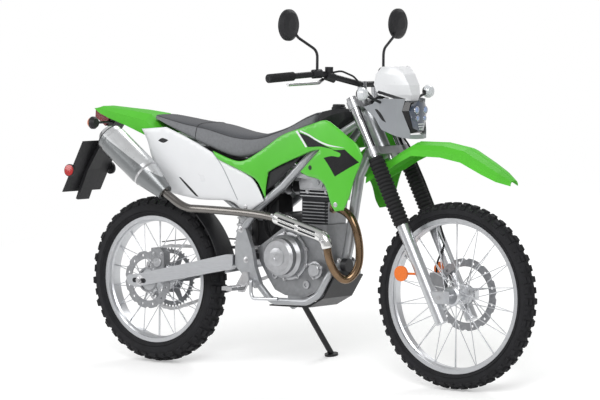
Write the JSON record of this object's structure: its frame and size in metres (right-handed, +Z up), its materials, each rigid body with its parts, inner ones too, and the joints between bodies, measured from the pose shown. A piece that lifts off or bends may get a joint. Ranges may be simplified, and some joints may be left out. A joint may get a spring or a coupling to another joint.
{
  "type": "dual sport motorcycle",
  "caption": "Dual sport motorcycle leaning on its side stand, with spoked wheels, knobbly tyres, steering, high exhaust, shrouds and a long bench seat.",
  "frame": {"origin": "centre of the bounding box's base on the ground", "axes": "+X to the front wheel, +Y to the rider's left, +Z up; the bike leans towards +Y on its side stand"},
  "size_m": [2.119, 0.8324, 1.4048],
  "materials": {
    "alloy": "satin",
    "amber_lens": "gloss",
    "black_metal": "satin",
    "black_plastic": "matte",
    "cast_dark": "satin",
    "chrome": "polished",
    "engine_grey": "satin",
    "frame_silver": "satin",
    "green": "gloss",
    "grey_plastic": "satin",
    "lens": "gloss",
    "pipe": "polished",
    "red_lens": "gloss",
    "rubber": "matte",
    "seat_cover": "matte",
    "silver_paint": "gloss",
    "steel": "satin",
    "tyre": "matte",
    "white": "gloss"
  },
  "bodies": {
    "frame": {"main_frame": "frame_silver", "subframe": "frame_silver", "swingarm": "alloy", "rear_axle": "steel", "crankcase": "engine_grey", "engine_covers": "cast_dark", "cylinder": "engine_grey", "cylinder_head": "engine_grey", "air_box": "black_plastic", "intake": "rubber", "exhaust_pipe": "pipe", "heat_shield": "steel", "muffler": "silver_paint", "fuel_tank": "grey_plastic", "tank_shrouds": "green", "side_panels": "white", "seat": "seat_cover", "rear_fender": "green", "plate_bracket": "black_plastic", "number_plate": "white", "tail_lamp": "red_lens", "rear_indicators": "amber_lens", "skid_plate": "alloy", "footpegs": "steel", "pedals": "alloy", "rear_shock": "silver_paint", "rear_brake": "cast_dark", "chain": "steel", "chain_guard": "black_plastic", "horn": "black_metal"},
    "steering": {"fork_tubes": "chrome", "fork_gaiters": "rubber", "fork_sliders": "alloy", "triple_clamps": "silver_paint", "handlebar": "black_metal", "grips": "rubber", "controls": "black_metal", "brake_hose": "rubber", "mirrors": "black_plastic", "headlamp": "lens", "number_cowl": "white", "lower_cowl": "grey_plastic", "front_fender": "green", "front_indicators": "lens", "front_brake": "cast_dark", "reflectors": "amber_lens", "instrument": "black_plastic", "front_axle": "steel"},
    "front_wheel": {"front_tyre": "tyre", "front_rim": "alloy", "front_hub": "alloy", "front_disc": "steel"},
    "rear_wheel": {"rear_tyre": "tyre", "rear_rim": "alloy", "rear_hub": "alloy", "rear_disc": "steel", "rear_sprocket": "steel"},
    "side_stand": {"side_stand": "black_metal"}
  },
  "joints": [
    {"name": "steering_head", "type": "hinge", "parent": "frame", "child": "steering", "pos_m": [0.35396, -0.03962, 0.91499], "axis": [-0.4617, 0.154, 0.8735], "range_deg": [-42, 42]},
    {"name": "front_wheel_spin", "type": "hinge", "parent": "steering", "child": "front_wheel", "pos_m": [0.72046, -0.14157, 0.3368], "axis": [0, 0.9848, -0.1736], "continuous": true},
    {"name": "rear_wheel_spin", "type": "hinge", "parent": "frame", "child": "rear_wheel", "pos_m": [-0.65954, -0.14539, 0.31514], "axis": [0, 0.9848, -0.1736], "continuous": true},
    {"name": "side_stand_fold", "type": "hinge", "parent": "frame", "child": "side_stand", "pos_m": [-0.08154, -0.03016, 0.24303], "axis": [0.1673, 0.8979, 0.4071], "range_deg": [0, 94]}
  ]
}
